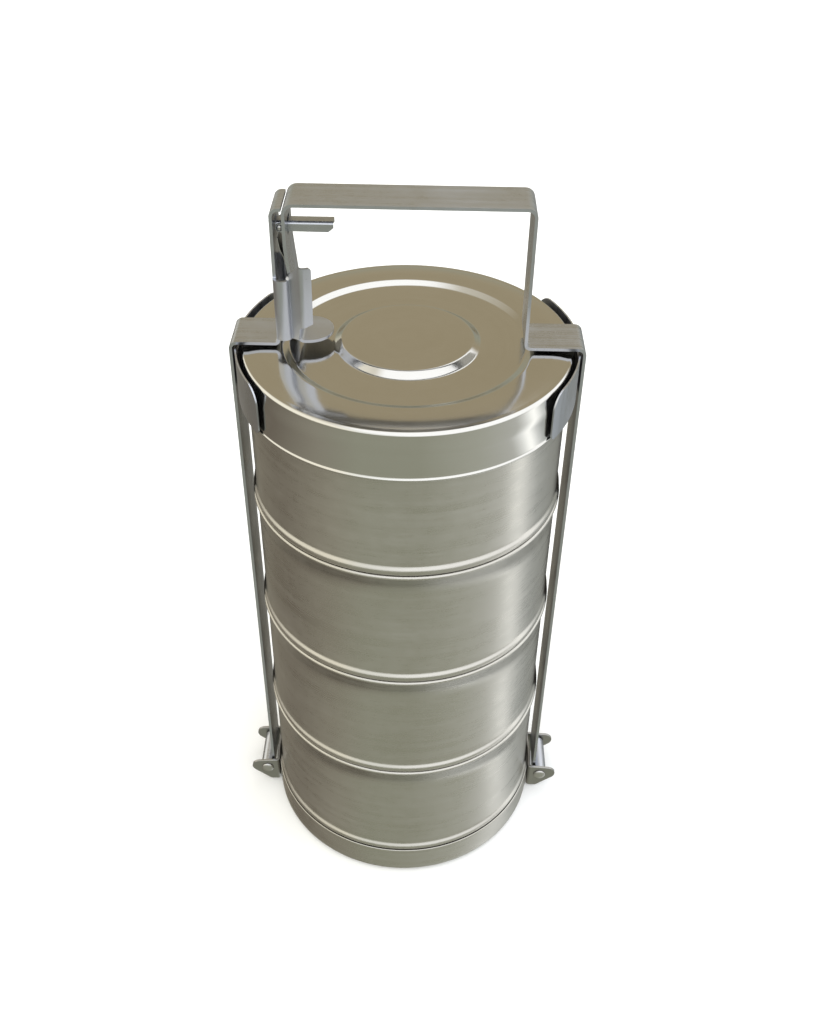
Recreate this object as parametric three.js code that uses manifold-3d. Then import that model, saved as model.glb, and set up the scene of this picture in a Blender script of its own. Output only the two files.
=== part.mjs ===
// Four-tier stainless steel tiffin carrier: a base tray, four nested bowls and a lid,
// held together by two hinged straps. The right strap is also the carrying handle. Its far
// leg stands in a clip channel on the left strap, and a squeeze lever lies under the grip.
// Millimetres. +X points to the handle's hinge, +Y to the back, +Z up.
// The origin is the centre of the base, on the surface the carrier stands on.
import * as THREE from 'three';
import { mergeVertices } from 'three/addons/utils/BufferGeometryUtils.js';
import Module from 'manifold-3d';

const wasm = await Module();
wasm.setup();

// Stack of bowls
const BOWL_COUNT = 4;
const PITCH = 74.3;
const FIRST_RIM_Z = 93.5;
const WALL = 0.7;
const BODY_R = 79.7;
const FOOT_R = 78.3;
const FOOT_DEPTH = 14.5;
const FOOT_CORNER_R = 6;
const BEAD_R = 81;
const BEAD_HALF = 2.8;
const BEAD_ABOVE_RIM = 4.3;
const ROLL_R = 1.2;
const RIM_R = 81.5;

// Base tray
const TRAY_R = 81.5;
const TRAY_WALL = 0.8;
const TRAY_H = 20.6;
const TRAY_CORNER_R = 4;

// Lid
const LID_TOP = 327.4;
const LID_R = 82.5;
const LID_TOP_R = 81.2;
const LID_EDGE_DROP = 0.7;
const LID_FLAT_R = 68;
const LID_SHOULDER_R = 1.8;
const LID_HEM_Z = 301.8;
const LID_HEM_ROLL = 0.5;
const LID_SEAT_Z = 317.9;
const LID_SEAT = 0.7;
const LID_RIM_INNER_R = 61.5;
const LID_PANEL_R = 57.5;
const LID_PANEL_DROP = 1.7;
const BOSS_TOP_R = 32;
const BOSS_FOOT_R = 36;
const BOSS_RISE = 2.7;

// Straps
const STRAP_W = 24;
const STRAP_T = 1.5;
const STRAP_IN_X = 84.5;
const STRAP_TOP_Z = 330.2;
const HANDLE_TOP_Z = 400;
const HANDLE_OUT_X = 57.4;
const FAR_LEG_OUT_X = 56.6;
const KNEE_X = 51.2;
const KNEE_Z = 379;
const TAB_RISE = 1;
const TAB_START_X = 46;
const TAB_END_X = 36;

// Clip on the left strap
const CLIP_OUT_X = 62.3;
const CLIP_TOP_Z = 397.5;
const FLANGE_END_X = 57;
const CLIP_WALL = 1.2;
const CLIP_FLAT_HALF = 12.2;
const NOSE_R = 3.3;
const NOSE_TURN = 60;
const NOSE_TOP_Z = 364.5;
const CLIP_FOOT_Z = 333.5;
const LIP_END_X = 44.2;
const LIP_TOP_Z = 372;
const LIP_END_Y = 15.2;
const VALLEY = [6.8, 12.75];
const CREST = [13.2, 16.8];

// Hinges
const PIN_Z = 12;
const KNUCKLE_R = 4.5;
const PIN_X = STRAP_IN_X + KNUCKLE_R;
const PIN_R = 2.5;
const PIN_GAP = 0.3;
const CHEEK_IN_Y = 13.2;
const CHEEK_T = 1.5;
const PIN_HEAD_R = 3.8;
const PIN_HEAD_T = 1.3;
const BRACKET_IN_X = 79;
const BRACKET_FOOT_Z = 1;
const BRACKET_TOP_Z = 19;
const EAR_FOOT_X = 88;
const EAR_TIP_X = 99;
const EAR_TIP_Z = 13;
const EAR_TIP_R = 5;

// Saddle plates
const SADDLE_T = 0.8;
const SADDLE_R = 88;
const SADDLE_OUT_X = 84.1;
const SADDLE_HALF = 50;
const SADDLE_FOOT_Z = 302.8;
const SADDLE_TOP_Z = 327.2;
const SADDLE_NOTCH_Z = 321;
const SADDLE_NOTCH_HALF = 13;

// Squeeze lever
const LEVER_PIN_X = -58.6;
const LEVER_PIN_Z = 385.8;
const LEVER_PIN_R = 1;
const LEVER_W = 7.4;
const LEVER_H = 4.8;
const LEVER_WALL = 0.9;
const LEVER_START_X = -59.9;
const LEVER_END_X = -34;
const LEVER_CORNER = 1.2;
const TONGUE_HALF = 2.6;
const TONGUE_END_X = -63.7;
const TONGUE_T = 1.5;
const SLOT_ABOVE = 3.8;
const SLOT_BELOW = 4;
const CATCH_HALF = 3.2;
const CATCH_ABOVE = 3.6;
const CATCH_BELOW = 2.4;
const LUG_IN_Y = 4.1;
const LUG_T = 1.2;
const LUG_R = 1.9;
const LUG_ROOT_HALF = 3.2;
const SPRING_T = 0.5;
const SPRING_W = 18;
const SPRING_FOOT_Z = 335;
const SPRING_BEND_Z = 372;
const SPRING_KNEE = [-58.6, 377];
const SPRING_TIP = [-59.4, 382.4];
const RIVET_Z = 341;
const RIVET_R = 1.5;

const ROUND_STEPS = 36;
const HOLE_STEPS = 16;
const GAP = 0.3;

const steel = (color, roughness) => new THREE.MeshStandardMaterial({
  color,
  roughness,
  metalness: 1,
});
const BRUSHED = steel(0xaeb0a8, 0.35);
const POLISHED = steel(0xbdbdb4, 0.15);
const STRAP_STEEL = steel(0xa9aaa4, 0.3);
const PIN_STEEL = steel(0x8f908c, 0.4);

// ---------- conversions between three.js geometry and solids ----------

function solid(geometry) {
  const bare = geometry.index ? geometry.toNonIndexed() : geometry.clone();
  bare.deleteAttribute('normal');
  bare.deleteAttribute('uv');
  const merged = mergeVertices(bare, 1e-4);
  return new wasm.Manifold(new wasm.Mesh({
    numProp: 3,
    vertProperties: new Float32Array(merged.attributes.position.array),
    triVerts: new Uint32Array(merged.index.array),
  }));
}

function geometryOf(body) {
  const mesh = body.getMesh();
  const geometry = new THREE.BufferGeometry();
  geometry.setAttribute('position', new THREE.BufferAttribute(mesh.vertProperties, 3));
  geometry.setIndex(new THREE.BufferAttribute(mesh.triVerts, 1));
  geometry.computeVertexNormals();
  return geometry;
}

// ---------- outlines ----------

// Points on a circular arc; angles in degrees.
function arc(cx, cy, r, from, to, steps) {
  const points = [];
  for (let i = 0; i <= steps; i += 1) {
    const a = THREE.MathUtils.degToRad(from + (to - from) * i / steps);
    points.push([cx + r * Math.cos(a), cy + r * Math.sin(a)]);
  }
  return points;
}

// A polyline with each inner corner rounded to its own radius.
function rounded(corners, radii, steps = 5) {
  const points = [corners[0]];
  for (let i = 1; i < corners.length - 1; i += 1) {
    const at = new THREE.Vector2(...corners[i]);
    const back = new THREE.Vector2(...corners[i - 1]).sub(at).normalize();
    const on = new THREE.Vector2(...corners[i + 1]).sub(at).normalize();
    const half = Math.acos(back.dot(on)) / 2;
    const r = radii[i - 1];
    const centre = at.clone().add(back.clone().add(on).normalize().multiplyScalar(r / Math.sin(half)));
    const start = at.clone().add(back.clone().multiplyScalar(r / Math.tan(half))).sub(centre);
    const turn = Math.sign(on.cross(back)) * (Math.PI - 2 * half);
    for (let s = 0; s <= steps; s += 1) {
      const p = start.clone().rotateAround(new THREE.Vector2(0, 0), turn * s / steps).add(centre);
      points.push([p.x, p.y]);
    }
  }
  points.push(corners[corners.length - 1]);
  return points;
}

// The closed outline of a sheet of thickness t whose middle follows a polyline.
function sheetOutline(line, t) {
  const left = [];
  const right = [];
  for (let i = 0; i < line.length; i += 1) {
    const here = new THREE.Vector2(...line[i]);
    const back = i > 0 ? here.clone().sub(new THREE.Vector2(...line[i - 1])).normalize() : null;
    const on = i < line.length - 1
      ? new THREE.Vector2(...line[i + 1]).sub(here).normalize()
      : null;
    const a = back || on;
    const b = on || back;
    const along = a.clone().add(b).normalize();
    const reach = (t / 2) / along.dot(a);
    left.push([here.x - along.y * reach, here.y + along.x * reach]);
    right.push([here.x + along.y * reach, here.y - along.x * reach]);
  }
  return left.concat(right.reverse());
}

function shapeOf(points) {
  return new THREE.Shape(points.map(([x, y]) => new THREE.Vector2(x, y)));
}

// An outline in X and Z, extruded along Y from y0 to y1.
function prismXZ(points, y0, y1) {
  const geometry = new THREE.ExtrudeGeometry(shapeOf(points), {
    depth: y1 - y0,
    bevelEnabled: false,
    steps: 1,
  });
  geometry.rotateX(Math.PI / 2);
  geometry.translate(0, y1, 0);
  return solid(geometry);
}

// An outline in X and Y, extruded along Z from z0 to z1.
function prismXY(points, z0, z1) {
  const geometry = new THREE.ExtrudeGeometry(shapeOf(points), {
    depth: z1 - z0,
    bevelEnabled: false,
    steps: 1,
  });
  geometry.translate(0, 0, z0);
  return solid(geometry);
}

function boxBetween(low, high) {
  const size = high.map((h, i) => h - low[i]);
  const geometry = new THREE.BoxGeometry(...size);
  geometry.translate(...low.map((l, i) => l + size[i] / 2));
  return solid(geometry);
}

// A round bar along Y, centred on y = 0.
function rodY(x, z, r, length, steps = HOLE_STEPS) {
  const geometry = new THREE.CylinderGeometry(r, r, length, steps);
  geometry.translate(x, 0, z);
  return solid(geometry);
}

// A solid of revolution about Z. Its profile holds [radius, height] pairs.
function turned(profile, steps = ROUND_STEPS) {
  const points = profile.map(([r, z]) => new THREE.Vector2(r, z));
  const geometry = new THREE.LatheGeometry(points, steps);
  geometry.rotateX(Math.PI / 2);
  const body = solid(geometry);
  if (body.volume() > 0) return body;
  return solid(flipped(geometry));
}

function flipped(geometry) {
  const plain = geometry.index ? geometry.toNonIndexed() : geometry;
  const p = plain.attributes.position;
  const a = new THREE.Vector3();
  const b = new THREE.Vector3();
  for (let i = 0; i < p.count; i += 3) {
    a.fromBufferAttribute(p, i + 1);
    b.fromBufferAttribute(p, i + 2);
    p.setXYZ(i + 1, b.x, b.y, b.z);
    p.setXYZ(i + 2, a.x, a.y, a.z);
  }
  return plain;
}

// ---------- round parts ----------

function baseTray() {
  const inner = TRAY_R - TRAY_WALL;
  const corner = TRAY_CORNER_R;
  return turned([
    [0, 0],
    ...arc(TRAY_R - corner, corner, corner, -90, 0, 3),
    [TRAY_R, TRAY_H - TRAY_WALL / 2],
    [TRAY_R - TRAY_WALL / 2, TRAY_H],
    [inner, TRAY_H - TRAY_WALL / 2],
    ...arc(TRAY_R - corner, corner, corner - TRAY_WALL, 0, -90, 3),
    [0, TRAY_WALL],
  ]);
}

// One bowl: a foot that slips into the bowl below, a locating bead, a wall and a rolled rim.
function bowl(rimZ) {
  const beadZ = rimZ - PITCH + BEAD_ABOVE_RIM;
  const footTopZ = beadZ - BEAD_HALF;
  const bottomZ = footTopZ - FOOT_DEPTH;
  const cornerX = FOOT_R - FOOT_CORNER_R;
  const cornerZ = bottomZ + FOOT_CORNER_R;
  const rollX = RIM_R - ROLL_R;
  return turned([
    [0, bottomZ],
    ...arc(cornerX, cornerZ, FOOT_CORNER_R, -90, 0, 2),
    [FOOT_R, footTopZ],
    [BEAD_R - 0.4, footTopZ + 0.3],
    [BEAD_R, beadZ - 1.2],
    [BEAD_R, beadZ + 1.2],
    [BODY_R, beadZ + BEAD_HALF],
    [BODY_R, rimZ - ROLL_R],
    ...arc(rollX, rimZ, ROLL_R, -60, 120, 3),
    [BODY_R - WALL, rimZ],
    [BODY_R - WALL, beadZ + BEAD_HALF + 0.4],
    [BEAD_R - WALL, beadZ + 0.8],
    [BEAD_R - WALL, beadZ - 0.8],
    [FOOT_R - WALL, footTopZ + 0.3],
    ...arc(cornerX, cornerZ, FOOT_CORNER_R - WALL, 0, -90, 2),
    [0, bottomZ + WALL],
  ]);
}

function lid() {
  const panelZ = LID_TOP - LID_PANEL_DROP;
  const bossZ = panelZ + BOSS_RISE;
  const shoulderX = LID_TOP_R - LID_SHOULDER_R;
  const shoulderZ = LID_TOP - LID_EDGE_DROP - LID_SHOULDER_R;
  const seatR = LID_R - WALL - LID_SEAT;
  const hemR = LID_R + LID_HEM_ROLL;
  return turned([
    [0, bossZ],
    [BOSS_TOP_R, bossZ],
    [BOSS_FOOT_R, panelZ],
    [LID_PANEL_R, panelZ],
    [LID_RIM_INNER_R, LID_TOP],
    [LID_FLAT_R, LID_TOP],
    [(LID_FLAT_R + shoulderX) / 2, LID_TOP - LID_EDGE_DROP / 4],
    ...arc(shoulderX, shoulderZ, LID_SHOULDER_R, 90, 0, 3),
    [LID_R, LID_SEAT_Z],
    [LID_R, LID_HEM_Z + 2],
    [hemR, LID_HEM_Z + 1.4],
    [hemR, LID_HEM_Z + 0.4],
    [LID_R, LID_HEM_Z],
    [LID_R - WALL, LID_HEM_Z + 0.4],
    [LID_R - WALL, LID_SEAT_Z],
    [seatR, LID_SEAT_Z + LID_SEAT],
    ...arc(shoulderX, shoulderZ, LID_SHOULDER_R - WALL, 0, 90, 2),
    [LID_FLAT_R, LID_TOP - WALL],
    [LID_RIM_INNER_R, LID_TOP - WALL],
    [LID_PANEL_R, panelZ - WALL],
    [BOSS_FOOT_R, panelZ - WALL],
    [BOSS_TOP_R, bossZ - WALL],
    [0, bossZ - WALL],
  ]);
}

// ---------- hinges ----------

// Side is +1 for the right hinge and -1 for the left one.
function mirrored(body, side) {
  return side > 0 ? body : body.mirror([1, 0, 0]);
}

function bracket(side) {
  const cheek = [
    [BRACKET_IN_X, BRACKET_FOOT_Z],
    [EAR_FOOT_X, BRACKET_FOOT_Z],
    ...arc(EAR_TIP_X - EAR_TIP_R, EAR_TIP_Z, EAR_TIP_R, -50, 80, 5),
    [BRACKET_IN_X, BRACKET_TOP_Z],
  ];
  const outY = CHEEK_IN_Y + CHEEK_T;
  let body = prismXZ(cheek, CHEEK_IN_Y, outY);
  body = body.add(prismXZ(cheek, -outY, -CHEEK_IN_Y));
  body = body.add(boxBetween(
    [BRACKET_IN_X, -outY, BRACKET_FOOT_Z],
    [TRAY_R + 2, outY, BRACKET_TOP_Z],
  ));
  const seat = new THREE.CylinderGeometry(TRAY_R + GAP, TRAY_R + GAP, 60, 72);
  seat.rotateX(Math.PI / 2);
  body = body.subtract(solid(seat));
  body = body.subtract(rodY(PIN_X, PIN_Z, PIN_R + PIN_GAP, 60));
  return mirrored(body, side);
}

function hingePin(side) {
  const reach = CHEEK_IN_Y + CHEEK_T + GAP;
  let body = rodY(PIN_X, PIN_Z, PIN_R, 2 * (reach + PIN_HEAD_T / 2));
  for (const end of [-1, 1]) {
    const head = new THREE.CylinderGeometry(PIN_HEAD_R * 0.7, PIN_HEAD_R, PIN_HEAD_T, HOLE_STEPS);
    if (end < 0) head.rotateX(Math.PI);
    head.translate(PIN_X, end * (reach + PIN_HEAD_T / 2), PIN_Z);
    body = body.add(solid(head));
  }
  return mirrored(body, side);
}

// The rolled eye at the foot of a strap, with the hole for its hinge pin.
function withKnuckle(strap) {
  const eye = rodY(PIN_X, PIN_Z, KNUCKLE_R, STRAP_W);
  return strap.add(eye).subtract(rodY(PIN_X, PIN_Z, PIN_R + PIN_GAP, 2 * STRAP_W));
}

// ---------- straps ----------

const MID_X = STRAP_IN_X + STRAP_T / 2;
const OVER_LID_Z = STRAP_TOP_Z - STRAP_T / 2;

function rightArm() {
  const legX = HANDLE_OUT_X - STRAP_T / 2;
  const gripZ = HANDLE_TOP_Z - STRAP_T / 2;
  const farX = -(FAR_LEG_OUT_X - STRAP_T / 2);
  const tabZ = STRAP_TOP_Z + TAB_RISE;
  const line = rounded([
    [MID_X, PIN_Z],
    [MID_X, OVER_LID_Z],
    [legX, OVER_LID_Z],
    [legX, gripZ],
    [farX, gripZ],
    [farX, KNEE_Z],
    [-KNEE_X, tabZ],
    [-TAB_START_X, tabZ],
  ], [3.2, 2.2, 4, 4.5, 30, 2.2]);
  let body = prismXZ(sheetOutline(line, STRAP_T), -STRAP_W / 2, STRAP_W / 2);
  body = withKnuckle(body);
  const tabCentre = -(TAB_END_X + STRAP_W / 2);
  const tab = [
    [tabCentre, -STRAP_W / 2],
    ...arc(tabCentre, 0, STRAP_W / 2, -90, 90, 10),
  ];
  body = body.add(prismXY(tab, tabZ - STRAP_T / 2, tabZ + STRAP_T / 2));
  return withLeverMount(body, farX);
}

// The far leg leans in towards its foot: its outer face at a height.
const LEG_LEAN = (FAR_LEG_OUT_X - STRAP_T / 2 - KNEE_X) / (KNEE_Z - STRAP_TOP_Z - TAB_RISE);

function farLegOuterX(z) {
  return -FAR_LEG_OUT_X + LEG_LEAN * Math.max(0, KNEE_Z - z);
}

// The slot that the squeeze lever passes through, and the two lugs that hold its pin.
function withLeverMount(arm, legX) {
  const lug = [
    [legX, LEVER_PIN_Z - LUG_ROOT_HALF],
    [legX, LEVER_PIN_Z + LUG_ROOT_HALF],
    ...arc(LEVER_PIN_X, LEVER_PIN_Z, LUG_R, 90, 270, 6),
  ];
  let body = arm;
  for (const y of [LUG_IN_Y, -LUG_IN_Y - LUG_T]) {
    body = body.add(prismXZ(lug, y, y + LUG_T));
  }
  body = body.subtract(boxBetween(
    [legX - STRAP_T, -LUG_IN_Y, LEVER_PIN_Z - SLOT_BELOW],
    [legX + STRAP_T, LUG_IN_Y, LEVER_PIN_Z + SLOT_ABOVE],
  ));
  body = body.subtract(rodY(LEVER_PIN_X, LEVER_PIN_Z, LEVER_PIN_R + PIN_GAP, 20));
  return body.subtract(acrossLeg(RIVET_R + GAP, -6, 6));
}

// A round bar square to the leaning leg, at the rivet, from one depth to another.
// Depth 0 is the leg's outer face and a positive depth is towards the handle's middle.
function acrossLeg(r, from, to, tipR = r) {
  const geometry = new THREE.CylinderGeometry(r, tipR, to - from, 12);
  geometry.translate(0, -(from + to) / 2, 0);
  geometry.rotateZ(Math.PI / 2);
  geometry.rotateY(-Math.atan(LEG_LEAN));
  geometry.translate(farLegOuterX(RIVET_Z), 0, RIVET_Z);
  return solid(geometry);
}

// The side view of the clip: a nose with a level top, and a taller lip inwards of it.
function clipSideOutline() {
  return [
    [-CLIP_OUT_X, CLIP_FOOT_Z],
    [-51, CLIP_FOOT_Z + 1],
    [-50, CLIP_FOOT_Z + 7.5],
    [-LIP_END_X, CLIP_FOOT_Z + 10],
    [-LIP_END_X, LIP_TOP_Z - 1],
    [-LIP_END_X - 1, LIP_TOP_Z],
    [-49.8, LIP_TOP_Z],
    [-55, NOSE_TOP_Z + 2],
    [-55, NOSE_TOP_Z],
    [-CLIP_OUT_X, NOSE_TOP_Z],
  ];
}

// The clip seen from above: a back plate, a round nose at each side of it and, on the
// near side only, a valley, a crest and the free edge of the lip.
function clipPlanOutline() {
  const backX = -CLIP_OUT_X + CLIP_WALL / 2;
  const nose = arc(backX + NOSE_R, CLIP_FLAT_HALF, NOSE_R, 180, 90 - NOSE_TURN, 8);
  const nearNose = nose.map(([x, y]) => [x, -y]);
  const lip = rounded([
    nearNose[nearNose.length - 1],
    [backX + VALLEY[0], -VALLEY[1]],
    [backX + CREST[0], -CREST[1]],
    [-LIP_END_X, -LIP_END_Y],
  ], [0.9, 2.2], 4);
  return sheetOutline([
    ...lip.slice(1).reverse(),
    ...nearNose.reverse(),
    ...nose,
  ], CLIP_WALL);
}

function leftArm() {
  const backX = -(CLIP_OUT_X - STRAP_T / 2);
  const line = rounded([
    [-MID_X, PIN_Z],
    [-MID_X, OVER_LID_Z],
    [backX, OVER_LID_Z],
    [backX, CLIP_TOP_Z - STRAP_T / 2],
    [-FLANGE_END_X, CLIP_TOP_Z - STRAP_T / 2],
  ], [3.2, 2.2, 3.2]);
  let body = prismXZ(sheetOutline(line, STRAP_T), -STRAP_W / 2, STRAP_W / 2);
  body = mirrored(withKnuckle(mirrored(body, -1)), -1);
  const sleeve = prismXY(clipPlanOutline(), CLIP_FOOT_Z - 1, LIP_TOP_Z + 1);
  body = body.add(sleeve.intersect(prismXZ(clipSideOutline(), -30, 30)));
  const catchSlot = boxBetween(
    [backX - STRAP_T, -CATCH_HALF, LEVER_PIN_Z - CATCH_BELOW],
    [backX + STRAP_T, CATCH_HALF, LEVER_PIN_Z + CATCH_ABOVE],
  );
  return body.subtract(catchSlot);
}

// The plate inside each strap that steadies the lid: less curved than the lid, so that its
// wings stand off from it. Its top is cut away behind the strap's bend.
function saddle(side) {
  const topR = 9;
  const footR = 3;
  const half = [
    ...arc(SADDLE_HALF - footR, SADDLE_FOOT_Z + footR, footR, -90, 0, 3),
    ...arc(SADDLE_HALF - topR, SADDLE_TOP_Z - topR, topR, 0, 90, 6),
    [SADDLE_NOTCH_HALF, SADDLE_TOP_Z],
    [SADDLE_NOTCH_HALF, SADDLE_NOTCH_Z],
  ];
  const otherHalf = half.map(([y, z]) => [-y, z]).reverse();
  const outline = prismXZ([...half, ...otherHalf], SADDLE_HALF, SADDLE_OUT_X + 1);
  const shell = (r) => {
    const geometry = new THREE.CylinderGeometry(r, r, 1000, 96);
    geometry.rotateX(Math.PI / 2);
    geometry.translate(SADDLE_OUT_X - SADDLE_R, 0, 0);
    return solid(geometry);
  };
  const plate = shell(SADDLE_R).subtract(shell(SADDLE_R - SADDLE_T));
  return mirrored(plate.intersect(outline.rotate([0, 0, -90])), side);
}

// ---------- squeeze lever ----------

// A folded channel, open underneath, with a narrow tongue that reaches the catch slot.
function releaseLever() {
  const top = LEVER_PIN_Z + LEVER_H / 2;
  const bottom = LEVER_PIN_Z - LEVER_H / 2;
  const half = LEVER_W / 2;
  const plan = [
    [LEVER_START_X, -half],
    [LEVER_END_X - LEVER_CORNER, -half],
    [LEVER_END_X, -half + LEVER_CORNER],
    [LEVER_END_X, half - LEVER_CORNER],
    [LEVER_END_X - LEVER_CORNER, half],
    [LEVER_START_X, half],
  ];
  let body = prismXY(plan, bottom, top);
  body = body.subtract(boxBetween(
    [LEVER_START_X - 1, -half + LEVER_WALL, bottom - 1],
    [LEVER_END_X - LEVER_WALL, half - LEVER_WALL, top - LEVER_WALL],
  ));
  body = body.add(boxBetween(
    [TONGUE_END_X, -TONGUE_HALF, top - TONGUE_T],
    [LEVER_START_X + 3, TONGUE_HALF, top],
  ));
  return body.subtract(rodY(LEVER_PIN_X, LEVER_PIN_Z, LEVER_PIN_R + PIN_GAP, 20));
}

function leverPin() {
  const reach = LUG_IN_Y + LUG_T + GAP;
  let body = rodY(LEVER_PIN_X, LEVER_PIN_Z, LEVER_PIN_R, 2 * (reach + 0.4), 16);
  for (const end of [-1, 1]) {
    const head = new THREE.CylinderGeometry(1.2, 1.5, 0.8, 16);
    if (end < 0) head.rotateX(Math.PI);
    head.translate(LEVER_PIN_X, end * (reach + 0.4), LEVER_PIN_Z);
    body = body.add(solid(head));
  }
  return body;
}

// A leaf spring that stands on the far leg's outer face and bears up under the lever.
function leverSpring() {
  const offset = GAP + SPRING_T / 2;
  const line = rounded([
    [farLegOuterX(SPRING_FOOT_Z) - offset, SPRING_FOOT_Z],
    [farLegOuterX(SPRING_BEND_Z) - offset, SPRING_BEND_Z],
    SPRING_KNEE,
    SPRING_TIP,
  ], [12, 6], 3);
  const body = prismXZ(sheetOutline(line, SPRING_T), -SPRING_W / 2, SPRING_W / 2);
  return body.subtract(acrossLeg(RIVET_R + GAP, -6, 6));
}

function springRivet() {
  const tail = GAP + SPRING_T + GAP;
  const headFrom = STRAP_T + GAP;
  let body = acrossLeg(RIVET_R, -tail - 0.4, headFrom + 0.4);
  body = body.add(acrossLeg(1.7, headFrom, headFrom + 0.9, 2.5));
  return body.add(acrossLeg(2.3, -tail - 0.7, -tail, 1.9));
}

// ---------- assembly ----------

const carrier = new THREE.Group();

function place(name, body, material) {
  const mesh = new THREE.Mesh(geometryOf(body), material);
  mesh.name = name;
  carrier.add(mesh);
}

place('base_tray', baseTray(), BRUSHED);
for (let i = 0; i < BOWL_COUNT; i += 1) {
  place(`bowl_${i + 1}`, bowl(FIRST_RIM_Z + i * PITCH), BRUSHED);
}
place('lid', lid(), POLISHED);
place('arm_right_handle', rightArm(), STRAP_STEEL);
place('arm_left_clip', leftArm(), STRAP_STEEL);
for (const [word, side] of [['right', 1], ['left', -1]]) {
  place(`hinge_bracket_${word}`, bracket(side), STRAP_STEEL);
  place(`hinge_pin_${word}`, hingePin(side), PIN_STEEL);
  place(`saddle_plate_${word}`, saddle(side), STRAP_STEEL);
}
place('release_lever', releaseLever(), STRAP_STEEL);
place('lever_pin', leverPin(), PIN_STEEL);
place('lever_spring', leverSpring(), PIN_STEEL);
place('spring_rivet', springRivet(), PIN_STEEL);

export default carrier;
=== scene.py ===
"""The looks of a four-tier stainless steel tiffin carrier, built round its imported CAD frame.

Shapes are written in millimetres and become metres as each mesh is made.
+X points to the handle's hinge, +Y to the back and +Z up.
"""

import math

import bmesh
import bpy
from mathutils import Matrix, Vector


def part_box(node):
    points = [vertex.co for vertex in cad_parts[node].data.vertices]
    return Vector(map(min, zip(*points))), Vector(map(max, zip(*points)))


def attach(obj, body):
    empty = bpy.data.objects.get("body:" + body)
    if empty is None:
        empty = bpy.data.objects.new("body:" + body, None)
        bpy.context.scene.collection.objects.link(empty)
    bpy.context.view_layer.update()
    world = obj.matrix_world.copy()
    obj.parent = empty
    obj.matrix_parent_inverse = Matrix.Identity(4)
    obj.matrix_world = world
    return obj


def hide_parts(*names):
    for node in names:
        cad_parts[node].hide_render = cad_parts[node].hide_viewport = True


MM = 0.001
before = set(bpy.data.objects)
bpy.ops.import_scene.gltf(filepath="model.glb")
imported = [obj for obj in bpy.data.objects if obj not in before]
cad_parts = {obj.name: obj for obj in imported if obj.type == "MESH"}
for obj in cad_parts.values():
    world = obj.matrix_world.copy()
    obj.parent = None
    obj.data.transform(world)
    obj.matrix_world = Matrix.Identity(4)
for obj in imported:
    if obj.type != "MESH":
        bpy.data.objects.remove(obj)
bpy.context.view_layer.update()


def edge(node, axis, high=True):
    """A face of a CAD node's box, in millimetres."""
    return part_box(node)[1 if high else 0][axis] / MM


X, Y, Z = range(3)

# Bowls
BOWLS = 4
WALL = 0.7
BODY_R = 79.7
FOOT_R = 78.3
FOOT_DEPTH = 14.5
FOOT_CORNER_R = 6
BEAD_R = 81
BEAD_HALF = 2.8
BEAD_ABOVE_RIM = 4.3
BEAD_FLANK_IN = 0.4
BEAD_FLANK_RISE = 0.2
ROLL_R = 1.2
STRAIGHT_WALL_TO = 14
RIM_R = edge("bowl_4", X)
FIRST_RIM_Z = edge("bowl_1", Z) - ROLL_R
PITCH = (edge("bowl_4", Z) - edge("bowl_1", Z)) / (BOWLS - 1)

# Base tray
TRAY_R = edge("base_tray", X)
TRAY_H = edge("base_tray", Z)
TRAY_WALL = 0.8
TRAY_CORNER_R = 4
TRAY_RIM_H = 1.4
TRAY_HOLLOW = 0.4
TRAY_RING_W = 12
TRAY_RING_EASE = 2

# Lid
LID_TOP = 327.4
LID_R = 82.5
LID_TOP_R = 81.2
LID_EDGE_DROP = 0.7
LID_FLAT_R = 68
LID_CROWN_R = 73
LID_SHOULDER_R = 1.8
LID_HEM_Z = edge("lid", Z, high=False)
LID_HEM_R = 0.8
LID_HEM_OUT = 0.65
LID_SEAT_Z = 317.9
LID_SEAT = 0.7
LID_RIM_INNER_R = 61.5
LID_PANEL_R = 57.5
LID_PANEL_DROP = 1.7
BOSS_TOP_R = 32
BOSS_FOOT_R = 36
BOSS_RISE = 2.7
BOSS_CROWN = 0.25

# Straps
STRAP_W = 24
STRAP_T = 1.5
STRAP_IN_X = 84.5
STRAP_TOP_Z = 330.2
HANDLE_TOP_Z = edge("arm_right_handle", Z)
HANDLE_OUT_X = 57.4
FAR_LEG_OUT_X = 56.6
KNEE_X = 51.2
KNEE_Z = 379
TAB_RISE = 1
TAB_END_X = 36
LID_BEND_R = 3.2
LEG_BEND_R = 2.2
GRIP_RIGHT_BEND_R = 4
GRIP_LEFT_BEND_R = 4.5
KNEE_BEND_R = 30

# Clip on the left strap: a nose at each side, and on the near side a valley, a crest and a lip
CLIP_OUT_X = 62.3
CLIP_TOP_Z = 397.5
FLANGE_END_X = 56.8
FLANGE_BEND_R = 3.2
CLIP_FLAT_HALF = 12.2
NOSE_R = 3.3
NOSE_TURN = 60
NOSE_TOP_Z = 364.5
CLIP_FOOT_Z = 333.5
CLIP_CUT = 0.6
LIP_VALLEY = (12.75, 6.65)
LIP_CREST = (16.8, 13.05)
LIP_END_Y = 15.2
LIP_END_X = 44.2
LIP_TOP_Z = 372

# Hinges
PIN_Z = 12
KNUCKLE_R = 4.5
PIN_X = STRAP_IN_X + KNUCKLE_R
PIN_R = 2.5
PIN_HEAD_R = 3.8
PIN_HEAD_H = 1.3
PIN_HEAD_GAP = 0.3
CURL_END = 482
CHEEK_IN_Y = 13.2
CHEEK_T = 1.5
BRACKET_GAP = 0.25
BRACKET_BEND_R = 1.6
EAR_TIP_X = edge("hinge_bracket_right", X)
EAR_TIP_R = 5
EAR_TIP_Z = 13
EAR_ROOT_TOP_Z = 19
EAR_FOOT_Z = 1
EAR_FOOT_W = 4

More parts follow.
